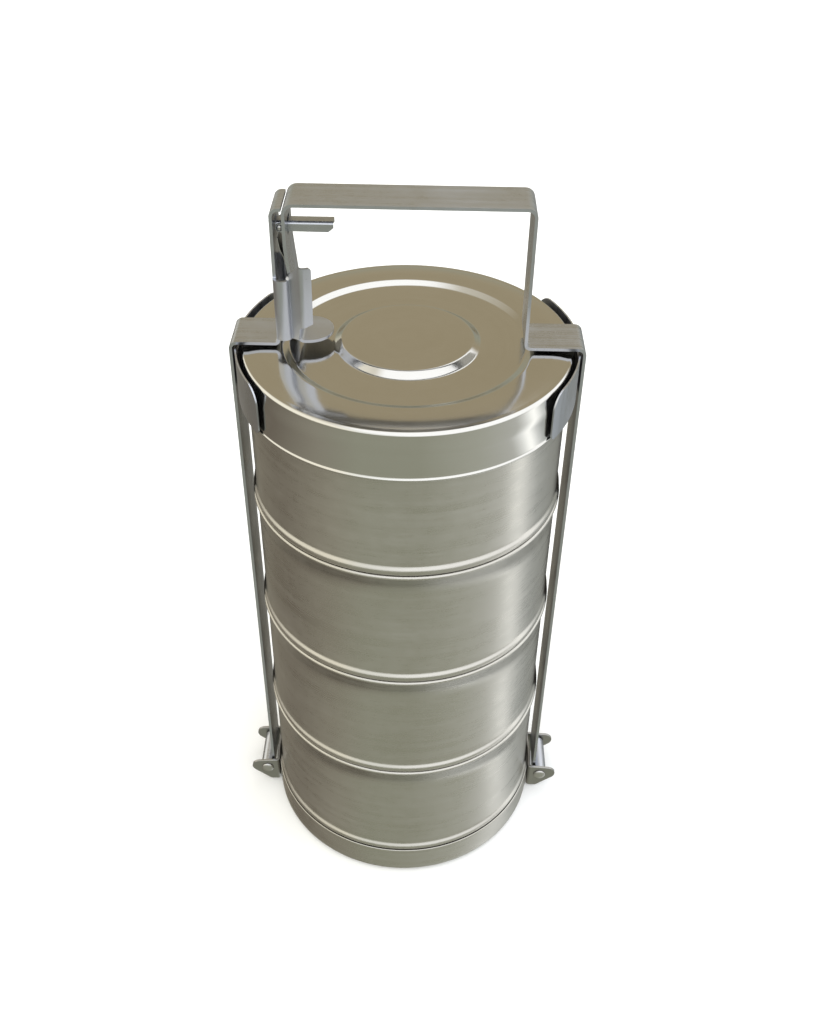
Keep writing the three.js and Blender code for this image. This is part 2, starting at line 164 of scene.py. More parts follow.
# Saddle plates
SADDLE_T = 0.8
SADDLE_R = 88
SADDLE_OUT_X = 84.1
SADDLE_HALF = 50
SADDLE_FOOT_Z = 302.8
SADDLE_TOP_Z = edge("saddle_plate_right", Z)
SADDLE_NOTCH_Z = 321
SADDLE_NOTCH_HALF = 13

# Squeeze lever, and the slots that it passes through, from its pin's height
LEVER_PIN_X = -58.6
LEVER_PIN_Z = 385.8
LEVER_PIN_R = 1
LEVER_PIN_HEAD_R = 1.5
LEVER_PIN_HEAD_H = 0.8
LEVER_H = 4.8
LEVER_T = 0.9
LEVER_HALF_W = 3.7
LEVER_ROOT_X = -59.9
LEVER_FREE_X = -34.2
LEVER_CORNER = 2
LEVER_CORNER_SLANT = 0.4
TONGUE_HALF = 2.6
TONGUE_PAST_CLIP = 1.4
LUG_IN_Y = 4.1
LUG_T = 1.2
LUG_R = 1.9
LUG_ROOT_HALF = 3.2
LUG_GAP = 0.2
LEG_SLOT = (3.8, -4)
CATCH_SLOT = (-2.4, 3.6)
CATCH_SLOT_HALF = 3.2

# Leaf spring and its rivet
SPRING_W = 18
SPRING_T = 0.5
SPRING_GAP = 0.3
SPRING_FOOT_Z = 335
SPRING_BEND_Z = 372
SPRING_LEVER_END = [(-58.6, 377), (-59.4, 382.4)]
RIVET_Z = 341
RIVET_SHANK_R = 1.5
RIVET_TAIL_R = 2.3
RIVET_TAIL = (-1.7, -1.1)
RIVET_HEAD_R = 2.5
RIVET_HEAD = (1.8, 2.7)


# ---------- outlines ----------


def arc(cx, cy, r, start, end, steps):
    """Points on a circular arc; angles in degrees."""
    angles = [math.radians(start + (end - start) * i / steps) for i in range(steps + 1)]
    return [(cx + r * math.cos(a), cy + r * math.sin(a)) for a in angles]


def rounded(corners, radii, steps=10):
    """A polyline with each inner corner rounded to its own radius."""
    points = [tuple(corners[0])]
    for i in range(1, len(corners) - 1):
        at = Vector(corners[i])
        back = (Vector(corners[i - 1]) - at).normalized()
        on = (Vector(corners[i + 1]) - at).normalized()
        half = math.acos(max(-1, min(1, back.dot(on)))) / 2
        r = radii[i - 1]
        centre = at + (back + on).normalized() * (r / math.sin(half))
        start = at + back * (r / math.tan(half)) - centre
        turn = math.copysign(math.pi - 2 * half, on.x * back.y - on.y * back.x)
        for s in range(steps + 1):
            points.append(tuple(centre + Matrix.Rotation(turn * s / steps, 2) @ start))
    points.append(tuple(corners[-1]))
    return points


class Line:
    """A polyline with distances along it."""

    def __init__(self, points):
        self.points = [Vector(p) for p in points]
        self.stations = [0.0]
        for a, b in zip(self.points, self.points[1:]):
            self.stations.append(self.stations[-1] + (b - a).length)

    def normal(self, i):
        """The unit normal at a vertex, stretched to keep a sheet's thickness round the corner."""
        back = (self.points[i] - self.points[i - 1]).normalized() if i > 0 else None
        last = i == len(self.points) - 1
        on = None if last else (self.points[i + 1] - self.points[i]).normalized()
        a, b = back or on, on or back
        along = (a + b).normalized()
        return Vector((-along.y, along.x)) / along.dot(a)

    def place(self, s, h):
        """The point at distance s along the line and h to its left."""
        last = len(self.points) - 2
        i = next((k for k in range(last) if s <= self.stations[k + 1]), last)
        span = self.stations[i + 1] - self.stations[i]
        t = (s - self.stations[i]) / span
        p = self.points[i].lerp(self.points[i + 1], t)
        return p + self.normal(i).lerp(self.normal(i + 1), t) * h

    def station(self, point):
        """The distance along the line of its nearest point to a point."""
        best = (1e9, 0.0)
        for i in range(len(self.points) - 1):
            a, b = self.points[i], self.points[i + 1]
            t = max(0, min(1, (Vector(point) - a).dot(b - a) / (b - a).length_squared))
            gap = (a.lerp(b, t) - Vector(point)).length
            best = min(best, (gap, self.stations[i] + t * (b - a).length))
        return best[1]


# ---------- meshes ----------


def finish_piece(name, bm, material, body, nodes):
    """Turns a bmesh in millimetres into a smooth piece that rides a body and replaces CAD nodes."""
    bmesh.ops.scale(bm, vec=(MM, MM, MM), verts=bm.verts)
    bmesh.ops.recalc_face_normals(bm, faces=bm.faces)
    mesh = bpy.data.meshes.new(name)
    bm.to_mesh(mesh)
    bm.free()
    mesh.polygons.foreach_set("use_smooth", [True] * len(mesh.polygons))
    piece = bpy.data.objects.new(name, mesh)
    bpy.context.scene.collection.objects.link(piece)
    mesh.materials.append(material)
    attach(piece, body)
    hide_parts(*nodes)
    return piece


SHARP = 35


def soften_edges(piece, width, segments=3):
    """Rounds a piece's sharp edges and keeps its flat faces flat."""
    bevel = piece.modifiers.new("edges", "BEVEL")
    bevel.width = width * MM
    bevel.segments = segments
    bevel.limit_method = "ANGLE"
    bevel.angle_limit = math.radians(SHARP)
    bevel.use_clamp_overlap = True
    shading = piece.modifiers.new("shading", "WEIGHTED_NORMAL")
    shading.keep_sharp = False


def turned(profile, segments=192, axis=Z):
    """A solid of revolution, whose profile of (radius, height) pairs starts and ends on the axis."""
    bm = bmesh.new()
    rings = []
    for r, h in profile:
        if r < 1e-6:
            rings.append([bm.verts.new((0, 0, h))])
            continue
        ring = []
        for i in range(segments):
            a = 2 * math.pi * i / segments
            ring.append(bm.verts.new((r * math.cos(a), r * math.sin(a), h)))
        rings.append(ring)
    for low, high in zip(rings, rings[1:]):
        for i in range(segments):
            j = (i + 1) % segments
            below = [low[k % len(low)] for k in (i, j)]
            above = [high[k % len(high)] for k in (j, i)]
            bm.faces.new(list(dict.fromkeys(below + above)))
    if axis == Y:
        bmesh.ops.rotate(bm, matrix=Matrix.Rotation(math.radians(90), 3, "X"), verts=bm.verts)
    return bm


def folded_sheet(outline, line, thickness, axes, holes=(), sides=None):
    """A sheet of metal cut to a flat outline of (distance along, distance across) and folded.

    It bends along a line in the plane of the first two axes; the third axis runs across it.
    sides is a second line, from the sheet's middle outwards, that folds both of its edges.
    """
    bm = bmesh.new()
    loops = [outline, *holes]
    for loop in loops:
        verts = [bm.verts.new((s, w, 0)) for s, w in loop]
        for a, b in zip(verts, verts[1:] + verts[:1]):
            bm.edges.new((a, b))
    bmesh.ops.triangle_fill(bm, use_beauty=True, use_dissolve=False, edges=bm.edges)
    if not holes:
        bmesh.ops.dissolve_limit(bm, angle_limit=0.01, verts=bm.verts, edges=bm.edges)
    cuts = [((s, 0, 0), (1, 0, 0)) for s in line.stations[1:-1]]
    if sides:
        cuts += [((0, k * w, 0), (0, 1, 0)) for w in sides.stations[1:-1] for k in (1, -1)]
    for point, normal in cuts:
        geometry = bm.verts[:] + bm.edges[:] + bm.faces[:]
        bmesh.ops.bisect_plane(bm, geom=geometry, plane_co=point, plane_no=normal, dist=1e-4)
    front = bmesh.ops.extrude_face_region(bm, geom=bm.faces[:])["geom"]
    for vert in front:
        if isinstance(vert, bmesh.types.BMVert):
            vert.co.z = 1
    ax, ay, across = (Vector(a) for a in axes)
    for vert in bm.verts:
        s, w, layer = vert.co
        h = (layer - 0.5) * thickness
        if sides:
            lateral, inward = sides.place(abs(w), h)
            lateral = math.copysign(lateral, w)
        else:
            lateral, inward = w, h
        x, y = line.place(s, inward)
        vert.co = ax * x + ay * y + across * lateral
    return bm


# ---------- bowls, base tray and lid ----------


def wave(start, end, from_z, to_z, steps):
    """A profile stretch that eases from one radius to another."""
    points = []
    for i in range(steps + 1):
        t = i / steps
        ease = (1 - math.cos(math.pi * t)) / 2
        points.append((start + (end - start) * ease, from_z + (to_z - from_z) * t))
    return points


def bowl_profile(rim_z):
    """A bowl from the middle of its bottom, up outside, over its rolled rim and down inside."""
    bead_z = rim_z - PITCH + BEAD_ABOVE_RIM
    foot_z = bead_z - BEAD_HALF
    bottom_z = foot_z - FOOT_DEPTH
    corner = (FOOT_R - FOOT_CORNER_R, bottom_z + FOOT_CORNER_R)
    roll_x = RIM_R - ROLL_R
    body_z = bead_z + BEAD_HALF
    flank = [
        (FOOT_R, foot_z - 1),
        (FOOT_R, foot_z),
        (BEAD_R - BEAD_FLANK_IN, foot_z + BEAD_FLANK_RISE),
        (BEAD_R, bead_z - 1),
    ]
    return [
        (0, bottom_z),
        (FOOT_R * 0.5, bottom_z),
        *arc(*corner, FOOT_CORNER_R, -90, 0, 8),
        *rounded(flank, [0.3, 0.45], 5),
        *wave(BEAD_R, BODY_R, bead_z, body_z, 10),
        (BODY_R, rim_z - STRAIGHT_WALL_TO),
        (BODY_R, rim_z - ROLL_R * 1.3),
        *arc(roll_x, rim_z, ROLL_R, -62, 130, 14),
        (BODY_R - WALL, rim_z - 0.5),
        (BODY_R - WALL, body_z),
        *wave(BODY_R - WALL, BEAD_R - WALL, body_z, bead_z, 8)[1:],
        *wave(BEAD_R - WALL, FOOT_R - WALL, bead_z, foot_z, 8)[1:],
        *arc(*corner, FOOT_CORNER_R - WALL, 0, -90, 8),
        (FOOT_R * 0.5, bottom_z + WALL),
        (0, bottom_z + WALL),
    ]


def tray_profile():
    """The tray stands on a flat ring round a slightly raised middle."""
    corner = TRAY_CORNER_R
    lip_r = TRAY_WALL / 2
    return [
        (0, TRAY_HOLLOW),
        (TRAY_R - TRAY_RING_W - TRAY_RING_EASE, TRAY_HOLLOW),
        (TRAY_R - TRAY_RING_W, 0),
        *arc(TRAY_R - corner, corner, corner, -90, 0, 8),
        (TRAY_R, TRAY_H - TRAY_RIM_H),
        *arc(TRAY_R - lip_r, TRAY_H - lip_r, lip_r, 0, 180, 8),
        (TRAY_R - TRAY_WALL, TRAY_H - TRAY_RIM_H),
        *arc(TRAY_R - corner, corner, corner - TRAY_WALL, 0, -90, 8),
        (0, TRAY_WALL),
    ]


def lid_top(drop):
    """The lid's top from its middle to its shoulder; drop is 0 outside and the wall inside."""
    panel_z = LID_TOP - LID_PANEL_DROP - drop
    boss_z = panel_z + BOSS_RISE
    rim_z = LID_TOP - drop
    shoulder = (LID_TOP_R - LID_SHOULDER_R, LID_TOP - LID_EDGE_DROP - LID_SHOULDER_R)
    steps = [
        (BOSS_TOP_R * 0.85, boss_z + BOSS_CROWN * 0.2),
        (BOSS_TOP_R, boss_z),
        (BOSS_FOOT_R, panel_z),
        (LID_PANEL_R, panel_z),
        (LID_RIM_INNER_R, rim_z),
        (LID_FLAT_R, rim_z),
    ]
    return [
        (0, boss_z + BOSS_CROWN),
        (BOSS_TOP_R * 0.5, boss_z + BOSS_CROWN * 0.68),
        *rounded(steps, [3, 3, 3.5, 3.5], 6),
        *arc(LID_FLAT_R, rim_z - LID_CROWN_R, LID_CROWN_R, 89, 82, 12),
        *arc(*shoulder, LID_SHOULDER_R - drop, 84, 8, 12),
    ]


def lid_profile():
    """The lid from its middle, down its flared skirt, round its rolled hem and back up inside."""
    hem = (LID_R + LID_HEM_OUT - LID_HEM_R, LID_HEM_Z + LID_HEM_R)
    skirt = [
        (LID_TOP_R, LID_TOP - LID_EDGE_DROP - LID_SHOULDER_R),
        (LID_R, LID_SEAT_Z),
        (LID_R, LID_HEM_Z + 3 * LID_HEM_R),
    ]
    return [
        *lid_top(0),
        *rounded(skirt, [24], 8),
        *arc(*hem, LID_HEM_R, 60, -150, 12),
        (LID_R - WALL, LID_HEM_Z + LID_HEM_R + 0.6),
        (LID_R - WALL, LID_SEAT_Z),
        (LID_R - WALL - LID_SEAT, LID_SEAT_Z + LID_SEAT),
        *reversed(lid_top(WALL)),
    ]


# ---------- straps ----------

MID_X = STRAP_IN_X + STRAP_T / 2
OVER_LID_Z = STRAP_TOP_Z - STRAP_T / 2
CURL_R = KNUCKLE_R - STRAP_T / 2
HALF_W = STRAP_W / 2
STRAP_AXES = [(1, 0, 0), (0, 0, 1), (0, 1, 0)]


def curl(side):
    """The strap's rolled eye round its hinge pin, from its free end up to the pin's height."""
    points = arc(PIN_X, PIN_Z, CURL_R, CURL_END, 180, 36)
    return [(side * x, z) for x, z in points]


def add_plate(bm, outline, y0, y1):
    """Adds a flat plate, square to Y, with an outline in X and Z."""
    sides = [[bm.verts.new((x, y, z)) for x, z in outline] for y in (y0, y1)]
    for side in sides:
        bm.faces.new(side)
    count = len(outline)
    for i in range(count):
        j = (i + 1) % count
        bm.faces.new((sides[0][i], sides[0][j], sides[1][j], sides[1][i]))


def box_loop(s0, s1, half, r=1.0):
    """A rectangular slot with rounded corners in a flat sheet."""
    centres = [(s1 - r, half - r), (s0 + r, half - r), (s0 + r, r - half), (s1 - r, r - half)]
    return [p for i, centre in enumerate(centres) for p in arc(*centre, r, 90 * i, 90 * i + 90, 4)]


def right_arm(material):
    """The right strap goes on as the handle's near leg, its grip, and the far leg with its foot tab."""
    leg_x = HANDLE_OUT_X - STRAP_T / 2
    grip_z = HANDLE_TOP_Z - STRAP_T / 2
    far_x = -(FAR_LEG_OUT_X - STRAP_T / 2)
    tab_z = STRAP_TOP_Z + TAB_RISE
    corners = [
        (MID_X, PIN_Z),
        (MID_X, OVER_LID_Z),
        (leg_x, OVER_LID_Z),
        (leg_x, grip_z),
        (far_x, grip_z),
        (far_x, KNEE_Z),
        (-KNEE_X, tab_z),
        (-TAB_END_X, tab_z),
    ]
    bends = [LID_BEND_R, LEG_BEND_R, GRIP_RIGHT_BEND_R, GRIP_LEFT_BEND_R, KNEE_BEND_R, LEG_BEND_R]
    line = Line(curl(1)[:-1] + rounded(corners, bends))
    tab = arc(line.station((-TAB_END_X - HALF_W, tab_z)), 0, HALF_W, -90, 90, 24)
    outline = [(0, -HALF_W), *tab, (0, HALF_W)]
    slot = [line.station((far_x, LEVER_PIN_Z + h)) for h in LEG_SLOT]
    bm = folded_sheet(outline, line, STRAP_T, STRAP_AXES, [box_loop(*slot, LUG_IN_Y)])
    lug = [
        (far_x, LEVER_PIN_Z - LUG_ROOT_HALF),
        (far_x, LEVER_PIN_Z + LUG_ROOT_HALF),
        *arc(LEVER_PIN_X, LEVER_PIN_Z, LUG_R, 90, 270, 16),
    ]
    for y in (LUG_IN_Y, -LUG_IN_Y - LUG_T):
        add_plate(bm, lug, y, y + LUG_T)
    piece = finish_piece("handle_strap", bm, material, "arm_right", ["arm_right_handle"])
    soften_edges(piece, 0.4)


# The middle of the clip's back plate
CLIP_BACK_X = -(CLIP_OUT_X - STRAP_T / 2)


def clip_side():
    """Half of the clip seen from above: across from the middle, and in towards the handle."""
    nose = arc(CLIP_FLAT_HALF, NOSE_R, NOSE_R, -90, NOSE_TURN, 14)
    lip_end = (LIP_END_Y, -LIP_END_X - CLIP_BACK_X)
    lip = rounded([nose[-1], LIP_VALLEY, LIP_CREST, lip_end], [0.9, 2.2], 8)
    return Line([(0, 0), *nose, *lip[1:]]), Line([(0, 0), *nose]).stations[-1]


def left_arm(material):
    """The left strap widens into the clip, whose top folds over towards the grip."""
    corners = [
        (-MID_X, PIN_Z),
        (-MID_X, OVER_LID_Z),
        (CLIP_BACK_X, OVER_LID_Z),
        (CLIP_BACK_X, CLIP_TOP_Z - STRAP_T / 2),
        (-FLANGE_END_X, CLIP_TOP_Z - STRAP_T / 2),
    ]
    line = Line(curl(-1)[:-1] + rounded(corners, [LID_BEND_R, LEG_BEND_R, FLANGE_BEND_R]))
    side, nose_end = clip_side()

    def at(z, across):
        return line.station((CLIP_BACK_X, z)), across

    def lip(x, z):
        """A point of the lip, given from the side, on the flat sheet."""
        inward = x - CLIP_BACK_X
        i = next(i for i in range(len(side.points) - 2, 0, -1) if side.points[i].y <= inward)
        a, b = side.points[i].y, side.points[i + 1].y
        t = min(1, (inward - a) / (b - a))
        return at(z, side.stations[i] + t * (side.stations[i + 1] - side.stations[i]))

    foot = [(0, HALF_W), at(CLIP_FOOT_Z - 1, HALF_W), at(CLIP_FOOT_Z, CLIP_FLAT_HALF)]
    nose = [at(CLIP_FOOT_Z + CLIP_CUT, nose_end), at(NOSE_TOP_Z, nose_end)]
    near = [
        nose[0],
        lip(-51, CLIP_FOOT_Z + 1),
        lip(-50, CLIP_FOOT_Z + 7.5),
        lip(-LIP_END_X - 0.2, CLIP_FOOT_Z + 10),
        lip(-LIP_END_X, LIP_TOP_Z - 1),
        lip(-LIP_END_X - 1, LIP_TOP_Z),
        lip(-49.8, LIP_TOP_Z),
        lip(-54.7, NOSE_TOP_Z + 2.5),
        nose[1],
    ]
    head = [
        at(NOSE_TOP_Z, CLIP_FLAT_HALF),
        at(NOSE_TOP_Z + CLIP_CUT / 2, HALF_W),
        (line.stations[-1], HALF_W - 1),
    ]
    outline = [(s, -w) for s, w in foot + near + head] + (foot + nose + head)[::-1]
    slot = [line.station((CLIP_BACK_X, LEVER_PIN_Z + h)) for h in CATCH_SLOT]
    # The path runs upwards here, so its left is outwards: inward folds are to its right.
    inward = Line([(p.x, -p.y) for p in side.points])
    bm = folded_sheet(outline, line, STRAP_T, STRAP_AXES, [box_loop(*slot, CATCH_SLOT_HALF)], inward)
    piece = finish_piece("clip_strap", bm, material, "arm_left", ["arm_left_clip"])
    soften_edges(piece, 0.35)


SIDES = {"right": 1, "left": -1}


def saddle(word, material):
    """The plate that steadies the lid: less curved than the lid, so its wings stand off from it."""
    top_r, foot_r = 9, 3
    mid_r = SADDLE_R - SADDLE_T / 2
    spread = math.degrees(math.asin((SADDLE_HALF + 1) / mid_r))
    line = Line(arc(SADDLE_OUT_X - SADDLE_R, 0, mid_r, -spread, spread, 48))
    middle = line.stations[-1] / 2
    reach = mid_r * math.asin(SADDLE_HALF / mid_r)
    half = [
        *arc(reach - foot_r, SADDLE_FOOT_Z + foot_r, foot_r, -90, 0, 8),
        *arc(reach - top_r, SADDLE_TOP_Z - top_r, top_r, 0, 90, 16),
        (SADDLE_NOTCH_HALF, SADDLE_TOP_Z),
        (SADDLE_NOTCH_HALF, SADDLE_NOTCH_Z),
    ]
    outline = [(middle + s, z) for s, z in half] + [(middle - s, z) for s, z in reversed(half)]
    bm = folded_sheet(outline, line, SADDLE_T, [(SIDES[word], 0, 0), (0, 1, 0), (0, 0, 1)])
    name, node = f"saddle_wings_{word}", f"saddle_plate_{word}"
    piece = finish_piece(name, bm, material, f"arm_{word}", [node])
    soften_edges(piece, 0.25)


# ---------- hinges ----------


def bracket(word, material):
    """A folded U: a web that follows the tray, and two ears that hold the hinge pin."""
    ear_y = CHEEK_IN_Y + CHEEK_T / 2
    web_r = TRAY_R + BRACKET_GAP + CHEEK_T / 2
    bend_turn = 1.6
    spread = math.degrees(math.asin(ear_y / web_r)) - bend_turn
    web = arc(0, 0, web_r, -spread, spread, 8)
    bend = BRACKET_BEND_R
    low = arc(web[0][0] + bend, -ear_y + bend, bend, 270, 200, 5)
    high = [(x, -y) for x, y in reversed(low)]
    line = Line([(EAR_TIP_X, -ear_y), *low, *web[1:-1], *high, (EAR_TIP_X, ear_y)])
    tip = arc(EAR_TIP_X - EAR_TIP_R, EAR_TIP_Z, EAR_TIP_R, 80, -50, 12)
    root_x = web[0][0] + bend
    ear = [(root_x, EAR_ROOT_TOP_Z), *tip, (root_x + EAR_FOOT_W, EAR_FOOT_Z), (root_x, EAR_FOOT_Z)]
    near = [(line.station((x, -ear_y)), z) for x, z in ear]
    far = [(line.stations[-1] - s, z) for s, z in near]
    outline = near + far[::-1]
    holes = []
    for y in (-ear_y, ear_y):
        holes.append(arc(line.station((PIN_X, y)), PIN_Z, PIN_R + 0.15, 0, 345, 23))
    bm = folded_sheet(outline, line, CHEEK_T, [(SIDES[word], 0, 0), (0, 1, 0), (0, 0, 1)], holes)
    name, node = f"hinge_ears_{word}", f"hinge_bracket_{word}"
    piece = finish_piece(name, bm, material, "base", [node])
    soften_edges(piece, 0.3)


def dome(radius, foot, top, steps):
    """A rounded head's profile, from its edge up to the axis."""
    angles = [math.pi / 2 * i / steps for i in range(steps)]
    rise = top - foot
    return [(radius * math.cos(a), foot + rise * math.sin(a)) for a in angles] + [(0, top)]


def rivet_profile(shaft_r, head_r, inner, outer):
    """A rivet with a domed head at each end, from its middle outwards and mirrored."""
    half = [(shaft_r, inner), *dome(head_r, inner, outer, 8)]
    return [(r, -h) for r, h in reversed(half)] + half


def move(bm, matrix):
    bmesh.ops.transform(bm, matrix=matrix, verts=bm.verts)


def hinge_pin(word, material):
    reach = CHEEK_IN_Y + CHEEK_T + PIN_HEAD_GAP
    bm = turned(rivet_profile(PIN_R, PIN_HEAD_R, reach, reach + PIN_HEAD_H), 48, Y)
    move(bm, Matrix.Translation((SIDES[word] * PIN_X, 0, PIN_Z)))
    finish_piece(f"hinge_rivet_{word}", bm, material, "base", [f"hinge_pin_{word}"])


# ---------- squeeze lever ----------


def release_lever(material):
    """A folded channel, open underneath, with a narrow tongue that reaches the catch slot."""
    half_w = LEVER_HALF_W - LEVER_T / 2
    top = LEVER_PIN_Z + LEVER_H / 2 - LEVER_T / 2
    bottom = LEVER_PIN_Z - LEVER_H / 2
    channel = [(-half_w, bottom), (-half_w, top), (half_w, top), (half_w, bottom)]
    line = Line(rounded(channel, [1, 1], 6))
    length = line.stations[-1]
    middle = length / 2
    tongue_x = -CLIP_OUT_X - TONGUE_PAST_CLIP
    corner_x = LEVER_FREE_X - LEVER_CORNER - LEVER_CORNER_SLANT
    half = [
        (TONGUE_HALF, tongue_x),
        (TONGUE_HALF, LEVER_ROOT_X),
        (middle - 0.2, LEVER_ROOT_X),
        (middle, corner_x),
        (middle - LEVER_CORNER, LEVER_FREE_X),
    ]
    outline = [(middle - w, x) for w, x in reversed(half)] + [(middle + w, x) for w, x in half]
    bm = folded_sheet(outline, line, LEVER_T, [(0, 1, 0), (0, 0, 1), (1, 0, 0)])
    piece = finish_piece("squeeze_lever", bm, material, "lever", ["release_lever"])
    soften_edges(piece, 0.25, 2)


def lever_pin(material):
    reach = LUG_IN_Y + LUG_T + LUG_GAP
    bm = turned(rivet_profile(LEVER_PIN_R, LEVER_PIN_HEAD_R, reach, reach + LEVER_PIN_HEAD_H), 32, Y)
    move(bm, Matrix.Translation((LEVER_PIN_X, 0, LEVER_PIN_Z)))
    finish_piece("lever_rivet", bm, material, "arm_right", ["lever_pin"])


LEG_LEAN = (FAR_LEG_OUT_X - STRAP_T / 2 - KNEE_X) / (KNEE_Z - STRAP_TOP_Z - TAB_RISE)


def far_leg_out_x(z):
    """The outer face of the far leg, which leans below its knee."""
    return -FAR_LEG_OUT_X + LEG_LEAN * max(0, KNEE_Z - z)


def lever_spring(material):
    """A flat leaf up the far leg, bent outwards at its top to press on the lever."""
    offset = SPRING_GAP + SPRING_T / 2
    up_leg = [(far_leg_out_x(z) - offset, z) for z in (SPRING_FOOT_Z, SPRING_BEND_Z)]
    line = Line(rounded(up_leg + SPRING_LEVER_END, [12, 6], 8))
    length, half_w = line.stations[-1], SPRING_W / 2
    outline = [(0, -half_w), (length, -half_w), (length, half_w), (0, half_w)]
    bm = folded_sheet(outline, line, SPRING_T, STRAP_AXES)
    piece = finish_piece("leaf_spring", bm, material, "arm_right", ["lever_spring"])
    soften_edges(piece, 0.12, 2)


def spring_rivet(material):
    """A rivet square to the leaning leg, with its domed head towards the handle's middle."""
    tail, tail_foot = RIVET_TAIL
    head_foot, head_top = RIVET_HEAD
    profile = [
        (0, tail),
        (RIVET_TAIL_R - 0.4, tail),
        (RIVET_TAIL_R, tail_foot),
        (RIVET_SHANK_R, tail_foot),
        (RIVET_SHANK_R, head_foot),
        *dome(RIVET_HEAD_R, head_foot, head_top, 6),
    ]
    bm = turned(profile, 32)
    tilt = Matrix.Rotation(math.radians(90) + math.atan(LEG_LEAN), 4, "Y")
    move(bm, Matrix.Translation((far_leg_out_x(RIVET_Z), 0, RIVET_Z)) @ tilt)
    finish_piece("leg_rivet", bm, material, "arm_right", ["spring_rivet"])


# ---------- materials ----------


class Graph:
    """A short way to add linked nodes to a node tree."""

    def __init__(self, tree):
        self.tree = tree

    def add(self, kind, settings=None, **sockets):
        node = self.tree.nodes.new(kind)
        for name, value in (settings or {}).items():
            setattr(node, name, value)
        for name, value in sockets.items():
            self.put(node, name.replace("_", " "), value)
        return node

    def put(self, node, socket, value):
        """Links or sets an input, by its name, or by its number after "in"."""
        number = socket.removeprefix("in")
        found = node.inputs[int(number) if number.isdigit() else socket]
        if isinstance(value, bpy.types.NodeSocket):
            self.tree.links.new(value, found)
        else:
            found.default_value = value

    def math(self, operation, a, b=0.0):
        return self.add("ShaderNodeMath", {"operation": operation}, in0=a, in1=b).outputs[0]

    def vector(self, x, y, z):
        return self.add("ShaderNodeCombineXYZ", None, X=x, Y=y, Z=z).outputs[0]

    def noise(self, vector, scale, detail=2.0, roughness=0.5):
        node = self.add(
            "ShaderNodeTexNoise", None, Vector=vector, Scale=scale, Detail=detail, Roughness=roughness
        )
        return node.outputs["Fac"]

    def blend(self, share, first, second):
        """A mix of two colours; a share of 1 is all the second."""
        node = self.add("ShaderNodeMix", {"data_type": "RGBA"}, in0=share, in6=first, in7=second)
        return node.outputs[2]

    def remap(self, value, low, high, to_low=0.0, to_high=1.0):
        """Carries a range of values to another, and holds its ends."""
        node = self.add("ShaderNodeMapRange", None, Value=value)
        limits = {"From Min": low, "From Max": high, "To Min": to_low, "To Max": to_high}
        for name, number in limits.items():
            node.inputs[name].default_value = number
        return node.outputs[0]

    def ramp(self, value, stops):
        node = self.add("ShaderNodeValToRGB", None, Fac=value)
        elements = node.color_ramp.elements
        while len(elements) < len(stops):
            elements.new(0.5)
        for element, (place, colour) in zip(elements, stops):
            element.position = place
            element.color = (*colour, 1)
        return node.outputs["Color"]


def grey(level, warmth=0.0):
    """A grey colour; a positive warmth makes it yellower."""
    return (level * (1 + warmth * 0.4), level, level * (1 - warmth))


# How far the brush noise is stretched along its lines
ROUND_STRETCH = 0.002
STRAIGHT_STRETCH = 0.01
SMUDGE_SCALE = 22.0
SPOT_SCALE = 140.0
BUMP_DEPTH = 0.00006


def steel(name, light, dark, roughness, grain, lines, brush, anisotropic=0.0, tangent=None):
    """Stainless steel with brush lines, faint smudges and fine scratches.

    grain is "round" for lines that run round Z, or "straight" for lines square to Y.
    lines is how strongly they show, and brush is the number of lines per millimetre.
    """
    material = bpy.data.materials.new(name)
    material.use_nodes = True
    tree = material.node_tree
    tree.nodes.clear()
    g = Graph(tree)
    place = g.add("ShaderNodeTexCoord").outputs["Object"]
    split = g.add("ShaderNodeSeparateXYZ", None, Vector=place)
    x, y, z = split.outputs
    if grain == "round":
        angle = g.math("ARCTAN2", y, x)
        flat = g.vector(x, y, 0.0)
        radius = g.add("ShaderNodeVectorMath", {"operation": "LENGTH"}, in0=flat).outputs["Value"]
        across = g.vector(g.math("MULTIPLY", angle, ROUND_STRETCH), radius, z)
    else:
        short_x, short_z = (g.math("MULTIPLY", part, STRAIGHT_STRETCH) for part in (x, z))
        across = g.vector(short_x, y, short_z)
    fine = g.noise(across, brush / MM, 3.0, 0.65)
    broad = g.noise(across, brush / MM / 9, 2.0, 0.5)
    streaks = g.math("ADD", g.math("MULTIPLY", fine, 0.6), g.math("MULTIPLY", broad, 0.4))
    smudge = g.noise(place, SMUDGE_SCALE, 4.0, 0.55)
    spots = g.noise(place, SPOT_SCALE, 3.0, 0.6)
    wear = g.math("ADD", g.math("MULTIPLY", smudge, 0.7), g.math("MULTIPLY", spots, 0.3))
    colour = g.ramp(
        g.math("ADD", g.math("MULTIPLY", streaks, 0.55), g.math("MULTIPLY", wear, 0.45)),
        [(0.3, dark), (0.7, light)],
    )
    rough = g.math(
        "ADD",
        g.remap(wear, 0.35, 0.65, roughness * 0.85, roughness * 1.2),
        g.remap(streaks, 0.3, 0.7, -lines * 0.1, lines * 0.1),
    )
    bump = g.add("ShaderNodeBump", None, Height=streaks, Strength=lines * 0.25, Distance=BUMP_DEPTH)
    shader = g.add("ShaderNodeBsdfPrincipled", None, Metallic=1.0, Roughness=rough)
    g.put(shader, "Base Color", colour)
    g.put(shader, "Normal", bump.outputs[0])
    shader.inputs["Anisotropic"].default_value = anisotropic
    shader.inputs["Anisotropic Rotation"].default_value = 0.25
    if tangent:
        direction = g.add("ShaderNodeTangent", {"direction_type": "RADIAL", "axis": tangent})
        g.put(shader, "Tangent", direction.outputs[0])
    output = g.add("ShaderNodeOutputMaterial")
    g.put(output, "Surface", shader.outputs[0])
    return material


